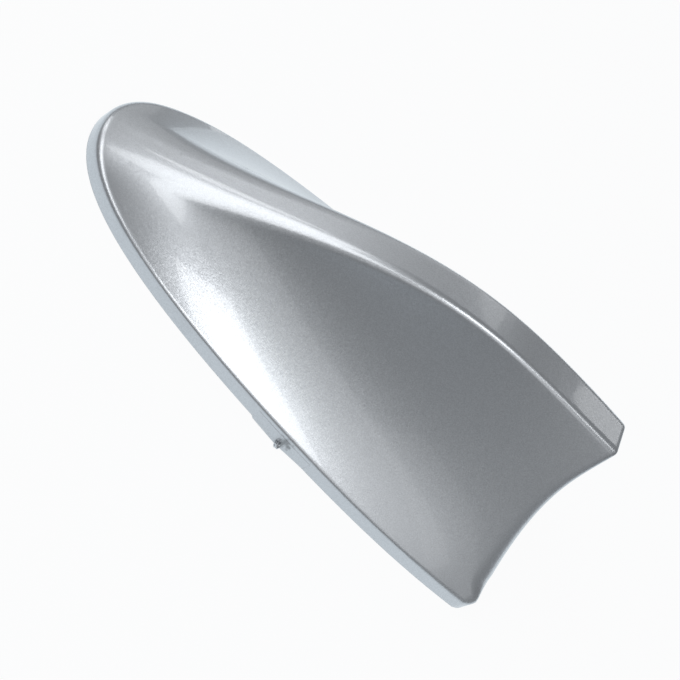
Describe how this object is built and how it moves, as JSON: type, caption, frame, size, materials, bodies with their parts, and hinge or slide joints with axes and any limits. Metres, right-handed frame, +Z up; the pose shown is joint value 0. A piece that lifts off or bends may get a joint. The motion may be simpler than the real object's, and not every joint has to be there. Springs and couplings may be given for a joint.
{
  "type": "shark fin aerial",
  "caption": "Hollow shark-fin car roof aerial shell with a flat-topped blade, flared flanks, rounded nose and a flat rim that sticks to the roof.",
  "frame": {"origin": "centre of the bounding box in plan, on the plane of the rim's underside", "axes": "+X from the nose to the tail, +Y across the car, +Z up, away from the car's roof"},
  "size_m": [0.165, 0.0818, 0.0551],
  "materials": {
    "silver_paint": "fine-flake silver metallic paint under a glossy clear coat"
  },
  "bodies": {
    "root": {"fin_shell": "silver_paint"}
  },
  "joints": []
}
